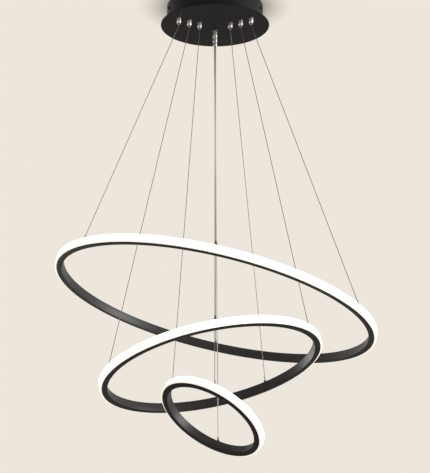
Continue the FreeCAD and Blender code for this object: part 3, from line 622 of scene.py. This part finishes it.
def stranded_material():
    """Fine steel rope: strands that wind round it, with dark lines of painted shade between them."""
    finish = bpy.context.scene.chandelier_finish
    lines = bpy.context.scene.chandelier_lines
    material, shader = new_material("stranded_steel")
    tree = material.node_tree
    around, along = map_sockets(tree)
    turns = math_node(tree, "MULTIPLY", along, 1.0 / lines.lay_length)
    phase = math_node(tree, "ADD", around, turns)
    wave = math_node(tree, "SINE", math_node(tree, "MULTIPLY", phase, math.pi * STRANDS))
    strand = math_node(tree, "ABSOLUTE", wave)
    ramp = tree.nodes.new("ShaderNodeValToRGB")
    painted_shade_valley, crest = ramp.color_ramp.elements
    # the grooves get 0.35 of the wire's colour: painted shade between the strands
    painted_shade_valley.color = (*[c * 0.35 for c in finish.wire], 1)
    crest.color = (*finish.wire, 1)
    crest.position = 0.45
    link(tree, strand, ramp.inputs["Fac"])
    link(tree, ramp.outputs["Color"], shader.inputs["Base Color"])
    link(tree, bump_node(tree, strand, 0.6, distance=0.0001), shader.inputs["Normal"])
    shader.inputs["Metallic"].default_value = 0.85
    shader.inputs["Roughness"].default_value = 0.38
    return material


def sheath_material():
    """Jacket of the power cords."""
    colour = bpy.context.scene.chandelier_finish.sheath
    return grained("cord_sheath", colour, 0.42, variation=0.15, grain=1500.0, depth=0.08)[0]


def dress(node, material):
    """Gives a piece that is kept as it is in the frame its finish."""
    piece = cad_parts[node]
    piece.data.materials.clear()
    piece.data.materials.append(material)


# ---------------------------------------------------------------- pieces
class CHANDELIER_OT_lines(bpy.types.Operator):
    """Make the steel wires and the power cords, from the canopy to the rings"""
    bl_idname = "chandelier.lines"
    bl_label = "Wires and cords"

    def hang(self, node, ring, route, diameter, material, slot):
        """One wire or cord along its route; it stretches between the canopy and its ring."""
        points = [Vector(place) for place in route]
        turn, end = points[-2], points[-1]
        lead = (end - turn).normalized() * diameter * BEND_SHARE
        points[-1:] = [turn + lead, end - lead, end]
        line = smooth_line(points)
        piece = line_tube(node + "_line", line, diameter, material)
        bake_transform(piece)
        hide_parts(node)
        length = sum((b - a).length for a, b in zip(line, line[1:]))
        tuple(line[0])

    def execute(self, context):
        lines = context.scene.chandelier_lines
        steel = stranded_material()
        sheath = sheath_material()
        for node, (ring, route) in WIRES.items():
            self.hang(node, ring, route, lines.wire_diameter, steel, "steel_wire")
        for node, (ring, route) in CORDS.items():
            self.hang(node, ring, route, lines.cord_diameter, sheath, "cord_sheath")
        return {"FINISHED"}


class CHANDELIER_OT_rings(bpy.types.Operator):
    """Make the rings' bent channels and their light bands"""
    bl_idname = "chandelier.rings"
    bl_label = "Rings"

    def channel_outline(self):
        """U-shaped section with hooked lips; the outer corners are slightly rounded."""
        w, h = CHANNEL_W, RING_H
        edge, inside = 0.0003, 0.0001
        low, high = LIP_T + HOOK_H, RING_H - LIP_T - HOOK_H
        lip = w - HOOK_W
        return rounded([
            (0, 0, edge), (0, h, edge), (w, h, edge), (w, high, inside), (lip, high, inside),
            (lip, h - LIP_T, 0), (WEB_T, h - LIP_T, 0), (WEB_T, LIP_T, 0), (lip, LIP_T, 0),
            (lip, low, inside), (w, low, inside), (w, 0, edge)])

    def band_outline(self):
        """Crown with softly rounded outer corners, neck and barb."""
        low, high = CROWN_SHY, RING_H - CROWN_SHY
        neck = LIP_T + HOOK_H + SNAP_FIT
        barb = LIP_T + SNAP_FIT
        tip = CHANNEL_W - HOOK_W - SNAP_FIT
        foot = CHANNEL_W + SNAP_FIT
        top = CHANNEL_W + DIFFUSER_PROUD
        crown, shoulder = 0.0018, 0.0002
        return rounded([
            (tip - BARB_T, barb, 0), (tip - BARB_T, RING_H - barb, 0), (tip, RING_H - barb, 0),
            (tip, RING_H - neck, 0), (foot, RING_H - neck, 0), (foot, high, shoulder),
            (top, high, crown), (top, low, crown), (foot, low, shoulder),
            (foot, neck, 0), (tip, neck, 0), (tip, barb, 0)], steps=5)

    def crown_middle(self, outline):
        """How far round the outline the middle of its crown is."""
        far = max(point.x for point in outline)
        along, marks = 0.0, []
        for k, point in enumerate(outline):
            if point.x > far - 1e-6:
                marks.append(along)
            along += (outline[(k + 1) % len(outline)] - point).length
        return (marks[0] + marks[-1]) / 2

    def execute(self, context):
        coat = black_coat("coated_channel", 0.5, 0.05)
        web = brushed_web_material()
        channel_outline = self.channel_outline()
        band_outline = self.band_outline()
        band = light_band_material(self.crown_middle(band_outline))
        for ring in RINGS:
            channel = swept_ring(
                ring + "_ring_bent_channel", ring, channel_outline, [coat, web], web_edges=(WEB_EDGE,))
            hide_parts(ring + "_ring_channel")
            glow = swept_ring(ring + "_ring_light_band", ring, band_outline, [band])
            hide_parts(ring + "_ring_diffuser")
        return {"FINISHED"}


class CHANDELIER_OT_fittings(bpy.types.Operator):
    """Finish the small pieces on the rings: sockets, wire ends, glands, strips and chips"""
    bl_idname = "chandelier.fittings"
    bl_label = "Ring fittings"

    def crimps(self, ring, material):
        """Ball and crimped sleeve on the end of each of a ring's wires."""
        ball = [(BALL_R * math.sin(math.radians(a)), -BALL_R * math.cos(math.radians(a)))
                for a in range(0, 140, 15)]
        sleeve = [(0.00070, 0.00150), (CRIMP_R - 0.0001, 0.00165), (CRIMP_R, 0.0018)]
        floor = CRIMP_R - DENT_DEPTH
        for dent in DENTS:
            sleeve += [(CRIMP_R, dent), (floor, dent + DENT_DEPTH),
                       (floor, dent + DENT_W - DENT_DEPTH), (CRIMP_R, dent + DENT_W)]
        sleeve += [(CRIMP_R, CRIMP_L - 0.0003), (CRIMP_R - 0.0002, CRIMP_L), (0.0, CRIMP_L)]
        places = []
        for owner, route in WIRES.values():
            if owner == ring:
                heading = (Vector(route[-2]) - Vector(route[-1])).normalized()
                places.append((Vector(route[-1]) - heading * CRIMP_L, heading))
        piece = turned(ring + "_ring_crimp_sleeves", ball + sleeve, places, material, sides=24)
        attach(piece, ring + "_ring")
        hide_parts(ring + "_ring_wire_ends")

    def execute(self, context):
        crimp = plated("dark_crimp", (0.12, 0.11, 0.10), 0.40)
        finishes = {
            "sockets": plated("dark_fitting", (0.09, 0.085, 0.08), 0.35),
            "cord_gland": moulded("black_gland", (0.02, 0.02, 0.02), 0.5),
            "socket_nuts": plated("zinc_nut", ZINC, 0.35),
            "splice_plate": plated("zinc_splice", ZINC, 0.35),
            "led_strip": moulded("strip_board", (0.85, 0.85, 0.83), 0.4),
            "led_chips": moulded("chip_phosphor", (0.90, 0.72, 0.25), 0.35),
        }
        for ring in RINGS:
            self.crimps(ring, crimp)
            for fitting, material in finishes.items():
                dress("%s_ring_%s" % (ring, fitting), material)
        return {"FINISHED"}


class CHANDELIER_OT_grippers(bpy.types.Operator):
    """Turn the nine cable grippers and their release sleeves"""
    bl_idname = "chandelier.grippers"
    bl_label = "Cable grippers"

    def barrel_outline(self):
        """Barrel with a chamfered foot and a groove, threaded stem, wire bore and the sleeve's pocket."""
        r, foot = BARREL_R, BARREL_FOOT
        groove, floor, slope = PLATE_LOW - GROOVE_DROP, BARREL_R - GROOVE_DEPTH, 0.00005
        edge = 0.00015
        outline = [
            (r - 0.0005, foot), (r - 0.00008, foot + 0.00042), (r, foot + 0.0006),
            (r, groove - GROOVE_W), (floor, groove - GROOVE_W + slope), (floor, groove - slope),
            (r, groove), (r, PLATE_LOW - edge), (r - edge, PLATE_LOW), (STEM_R, PLATE_LOW)]
        outline += threaded(STEM_R, PLATE_LOW + THREAD_END, STEM_TOP - THREAD_END)
        outline += [
            (STEM_R - THREAD_END, STEM_TOP), (BORE_R, STEM_TOP), (BORE_R, POCKET_TOP),
            (POCKET_R, POCKET_TOP), (POCKET_R, foot)]
        return outline

    def sleeve_outline(self):
        """Sleeve with a rim at its foot, chamfered below and broken above, and the wire's bore."""
        r, rim, foot = SLEEVE_R, SLEEVE_RIM_R, SLEEVE_FOOT
        chamfer, edge, mouth = 0.0004, 0.0001, 0.0002
        return [
            (BORE_R, foot + mouth), (BORE_R + mouth, foot), (rim - chamfer, foot), (rim, foot + chamfer),
            (rim, foot + SLEEVE_RIM_T - edge), (rim - edge, foot + SLEEVE_RIM_T), (r, foot + SLEEVE_RIM_T),
            (r, SLEEVE_TOP), (BORE_R, SLEEVE_TOP)]

    def execute(self, context):
        finish = context.scene.chandelier_finish
        chrome = plated("satin_plating", finish.plate, 0.40)
        dark = plated("dark_plating", [c * 0.35 for c in finish.plate], 0.42)
        up = (0, 0, 1)
        barrels = turned("gripper_barrels_turned", self.barrel_outline(),
                         [((x, y, 0), up) for x, y in GRIPPERS.values()], chrome, sides=40)
        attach(barrels, "canopy")
        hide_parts("gripper_barrels")
        for (row, place), (x, y) in GRIPPERS.items():
            node = "release_sleeve_%s_%s" % (row, place)
            sleeve = turned(node + "_turned", self.sleeve_outline(), [((x, y, 0), up)], dark)
            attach(sleeve, node)
            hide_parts(node)
        return {"FINISHED"}


class CHANDELIER_OT_canopy(bpy.types.Operator):
    """Finish the canopy and what it holds, and make its side screws"""
    bl_idname = "chandelier.canopy"
    bl_label = "Canopy"

    def execute(self, context):
        coat = black_coat("coated_drum", 0.5, 0.11)
        zinc = plated("zinc_plating", ZINC, 0.38)
        finishes = {
            "canopy_drum": coat,
            "canopy_plate": black_coat("coated_plate", 0.5, 0.04),
            "plate_fasteners": zinc,
            "ceiling_bracket": zinc,
            "gripper_nuts": zinc,
            "cord_outlet": moulded("outlet_rubber", (0.015, 0.015, 0.015), 0.6),
            "driver_case": moulded("white_case", (0.80, 0.80, 0.78), 0.45),
            "driver_cover": moulded("white_cover", (0.82, 0.82, 0.80), 0.45),
            "driver_board": moulded("green_board", (0.03, 0.20, 0.08), 0.35),
            "terminal_block": moulded("terminal_nylon", (0.78, 0.78, 0.75), 0.4),
            "mains_leads": moulded("lead_jacket", (0.15, 0.06, 0.03), 0.35),
        }
        for node, material in finishes.items():
            dress(node, material)
        self.side_screws(coat)
        return {"FINISHED"}

    def side_screws(self, material):
        """Pan heads with a cross recess, and their shanks through the wall."""
        r, rim = SIDE_HEAD_R, SIDE_HEAD_T * SIDE_RIM_SHARE
        dome = SIDE_HEAD_T - rim
        outline = [(0.0, -SIDE_SHANK_L), (SIDE_SHANK_R - THREAD_END, -SIDE_SHANK_L)]
        outline += threaded(SIDE_SHANK_R, -SIDE_SHANK_L + THREAD_END, -0.0003, pitch=0.0007)
        outline += [(SIDE_SHANK_R, 0.0), (r - 0.0002, 0.0), (r, 0.0003), (r, rim)]
        for k in range(1, DOME_STEPS):
            angle = math.pi / 2 * k / DOME_STEPS
            outline.append((r * math.cos(angle), rim + dome * math.sin(angle)))
        outline.append((0.0, SIDE_HEAD_T))
        places = []
        for azimuth in SIDE_SCREW_AZIMUTHS:
            a = math.radians(azimuth)
            out = Vector((math.sin(a), -math.cos(a), 0))
            places.append((out * (DRUM_R + SIDE_HEAD_LIFT) + Vector((0, 0, SIDE_SCREW_Z)), out))
        piece = turned("side_pan_screws", outline, places, material)
        recess = self.cross_cutters(places)
        cut = piece.modifiers.new("recess", "BOOLEAN")
        cut.operation = "DIFFERENCE"
        cut.object = recess
        cut.solver = "EXACT"
        bpy.context.view_layer.update()
        graph = bpy.context.evaluated_depsgraph_get()
        mesh = bpy.data.meshes.new_from_object(piece.evaluated_get(graph))
        piece.modifiers.clear()
        piece.data = mesh
        bpy.data.objects.remove(recess)
        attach(piece, "canopy")
        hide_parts("side_screws")

    def cross_cutters(self, places):
        """Cross-shaped prism at each head, which cuts its recess."""
        vertices, faces = [], []
        far, near = CROSS_L, CROSS_W
        cross = [
            (near, near), (near, far), (-near, far), (-near, near), (-far, near), (-far, -near),
            (-near, -near), (-near, -far), (near, -far), (near, -near), (far, -near), (far, near)]
        size = len(cross)
        for origin, axis in places:
            lean = axis.to_track_quat("Z", "Y")
            start = len(vertices)
            for z in (SIDE_HEAD_T - CROSS_DEPTH, SIDE_HEAD_T + 0.001):
                vertices += [origin + lean @ Vector((x, y, z)) for x, y in cross]
            faces.append(tuple(start + k for k in reversed(range(size))))
            faces.append(tuple(start + size + k for k in range(size)))
            for k in range(size):
                n = (k + 1) % size
                faces.append((start + k, start + n, start + size + n, start + size + k))
        mesh = bpy.data.meshes.new("recess")
        mesh.from_pydata(vertices, [], faces)
        recess = bpy.data.objects.new("recess", mesh)
        bpy.context.scene.collection.objects.link(recess)
        return recess


class CHANDELIER_OT_studio(bpy.types.Operator):
    """Set up the camera, the light, the ceiling and the floor"""
    bl_idname = "chandelier.studio"
    bl_label = "Studio"

    def floor(self, studio):
        """Plain painted floor."""
        material, shader = new_material("pale_paint")
        shader.inputs["Base Color"].default_value = (*studio.floor, 1)
        shader.inputs["Roughness"].default_value = 0.9
        size, z = FLOOR_HALF, -studio.floor_drop
        vertices = [(-size, -size, z), (size, -size, z), (size, size, z), (-size, size, z)]
        new_object("floor", vertices, [(0, 1, 2, 3)], material)

    def ceiling(self, studio):
        """Patch of ceiling, seen from below only: the background's colour, darker close to the drum."""
        material = bpy.data.materials.new("pale_ceiling")
        material.use_nodes = True
        tree = material.node_tree
        tree.nodes.clear()
        out = tree.nodes.new("ShaderNodeOutputMaterial")
        side = tree.nodes.new("ShaderNodeNewGeometry")
        near = tree.nodes.new("ShaderNodeAmbientOcclusion")
        near.samples = 12
        near.inputs["Distance"].default_value = PATCH_SHADE
        near.inputs["Color"].default_value = (*studio.background, 1)
        glow = tree.nodes.new("ShaderNodeEmission")
        clear = tree.nodes.new("ShaderNodeBsdfTransparent")
        mix = tree.nodes.new("ShaderNodeMixShader")
        link(tree, near.outputs["Color"], glow.inputs["Color"])
        link(tree, side.outputs["Backfacing"], mix.inputs["Fac"])
        link(tree, glow.outputs[0], mix.inputs[1])
        link(tree, clear.outputs[0], mix.inputs[2])
        link(tree, mix.outputs[0], out.inputs["Surface"])
        size, z = PATCH_HALF, PATCH_LIFT
        vertices = [(-size, -size, z), (-size, size, z), (size, size, z), (size, -size, z)]
        patch = new_object("ceiling_patch", vertices, [(0, 1, 2, 3)], material)
        for ray in ("diffuse", "glossy", "transmission", "shadow", "volume_scatter"):
            setattr(patch, "visible_" + ray, False)

    def world(self, studio):
        """Even light from all round, and the background that the camera and the gloss see."""
        world = bpy.data.worlds.new("studio")
        bpy.context.scene.world = world
        world.use_nodes = True
        tree = world.node_tree
        tree.nodes.clear()
        out = tree.nodes.new("ShaderNodeOutputWorld")
        mix = tree.nodes.new("ShaderNodeMixShader")
        path = tree.nodes.new("ShaderNodeLightPath")
        seen = tree.nodes.new("ShaderNodeBackground")
        seen.inputs["Color"].default_value = (*studio.background, 1)
        light = tree.nodes.new("ShaderNodeBackground")
        light.inputs["Color"].default_value = (1.0, 0.97, 0.93, 1)
        light.inputs["Strength"].default_value = studio.ambient
        shown = math_node(tree, "MAXIMUM", path.outputs["Is Camera Ray"], path.outputs["Is Glossy Ray"])
        shown = math_node(tree, "MAXIMUM", shown, path.outputs["Is Transmission Ray"])
        link(tree, shown, mix.inputs["Fac"])
        link(tree, light.outputs[0], mix.inputs[1])
        link(tree, seen.outputs[0], mix.inputs[2])
        link(tree, mix.outputs[0], out.inputs["Surface"])

    def camera(self, studio):
        """Camera at the photograph's viewing angle."""
        data = bpy.data.cameras.new("camera")
        data.sensor_width = SENSOR_WIDTH
        data.sensor_fit = "HORIZONTAL"
        data.lens = studio.camera_lens
        camera = bpy.data.objects.new("camera", data)
        camera.location = studio.camera_place
        camera.rotation_euler = (math.pi / 2 + studio.camera_pitch, 0, 0)
        bpy.context.scene.collection.objects.link(camera)
        bpy.context.scene.camera = camera

    def softbox(self, name, place, aim, size, power):
        """Square soft lamp."""
        data = bpy.data.lights.new(name, "AREA")
        data.size = size
        data.energy = power
        lamp = bpy.data.objects.new(name, data)
        lamp.location = place
        direction = Vector(aim) - Vector(place)
        lamp.rotation_euler = direction.to_track_quat("-Z", "Y").to_euler()
        bpy.context.scene.collection.objects.link(lamp)

    def execute(self, context):
        studio = context.scene.chandelier_studio
        context.scene.view_settings.view_transform = "Standard"
        self.world(studio)
        self.camera(studio)
        self.floor(studio)
        self.ceiling(studio)
        for name, (place, aim, size, power) in SOFTBOXES.items():
            self.softbox(name, place, aim, size, power)
        return {"FINISHED"}


class CHANDELIER_PT_panel(bpy.types.Panel):
    """Sizes, finishes and steps of the lamp"""
    bl_idname = "CHANDELIER_PT_panel"
    bl_label = "Chandelier"
    bl_space_type = "VIEW_3D"
    bl_region_type = "UI"
    bl_category = "Chandelier"

    def draw(self, context):
        scene = context.scene
        for settings in (scene.chandelier_lines, scene.chandelier_finish, scene.chandelier_studio):
            box = self.layout.box()
            for name in settings.__annotations__:
                box.prop(settings, name)
        for operator in OPERATORS:
            self.layout.operator(operator.bl_idname)


OPERATORS = (CHANDELIER_OT_lines, CHANDELIER_OT_rings, CHANDELIER_OT_fittings,
             CHANDELIER_OT_grippers, CHANDELIER_OT_canopy, CHANDELIER_OT_studio)
SETTINGS = (ChandelierLines, ChandelierFinish, ChandelierStudio)
CLASSES = SETTINGS + OPERATORS + (CHANDELIER_PT_panel,)


def register():
    """Adds the classes and the settings to the scene."""
    for item in CLASSES:
        bpy.utils.register_class(item)
    bpy.types.Scene.chandelier_lines = bpy.props.PointerProperty(type=ChandelierLines)
    bpy.types.Scene.chandelier_finish = bpy.props.PointerProperty(type=ChandelierFinish)
    bpy.types.Scene.chandelier_studio = bpy.props.PointerProperty(type=ChandelierStudio)


def unregister():
    """Takes them out again."""
    del bpy.types.Scene.chandelier_studio
    del bpy.types.Scene.chandelier_finish
    del bpy.types.Scene.chandelier_lines
    for item in reversed(CLASSES):
        bpy.utils.unregister_class(item)


def main():
    """Dresses the whole lamp and sets up the studio."""
    register()
    bpy.ops.chandelier.lines()
    bpy.ops.chandelier.rings()
    bpy.ops.chandelier.fittings()
    bpy.ops.chandelier.grippers()
    bpy.ops.chandelier.canopy()
    bpy.ops.chandelier.studio()


if __name__ == "__main__":
    main()
